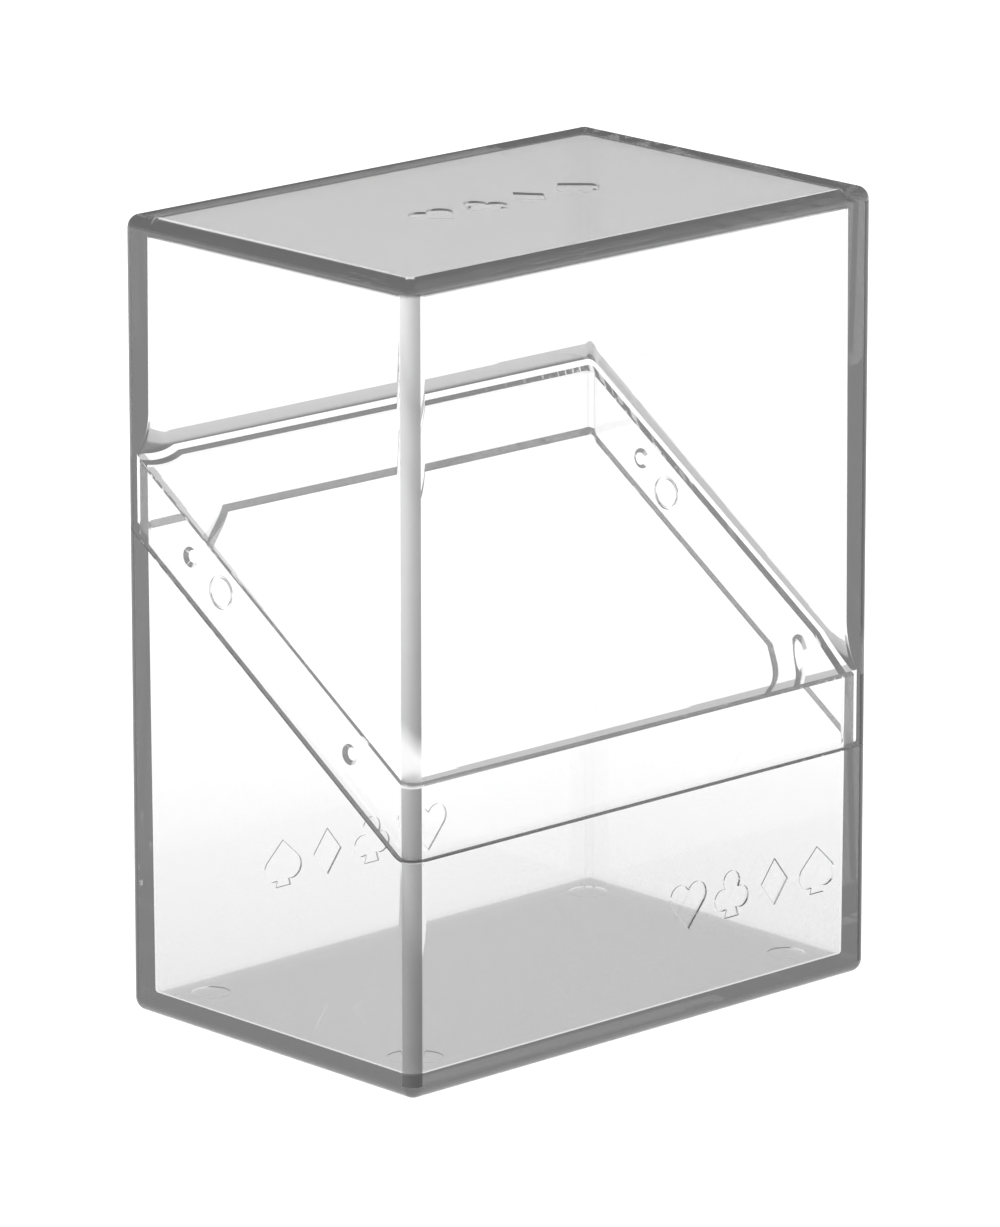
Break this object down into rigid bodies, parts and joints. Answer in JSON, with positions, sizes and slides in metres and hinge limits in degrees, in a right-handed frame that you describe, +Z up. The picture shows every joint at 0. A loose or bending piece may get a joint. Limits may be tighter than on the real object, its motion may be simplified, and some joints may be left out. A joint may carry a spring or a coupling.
{
  "type": "card deck box",
  "caption": "Clear rigid deck box in two halves: a base with an inner collar and a lift-off lid that meet along a slanted seam.",
  "frame": {"origin": "middle of the flat bottom face, on the surface that the box stands on", "axes": "+Z up, wide front face towards -Y where the seam is lowest, narrow sides towards -X and +X"},
  "size_m": [0.077, 0.051, 0.1],
  "materials": {
    "clear_shell": "clear polished moulded plastic, see-through"
  },
  "bodies": {
    "base": {"base": "clear_shell"},
    "lid": {"lid": "clear_shell"}
  },
  "joints": [
    {"name": "lid_lift", "type": "slide", "parent": "base", "child": "lid", "axis": [0, 0, 1], "range_m": [0, 0.075]}
  ]
}
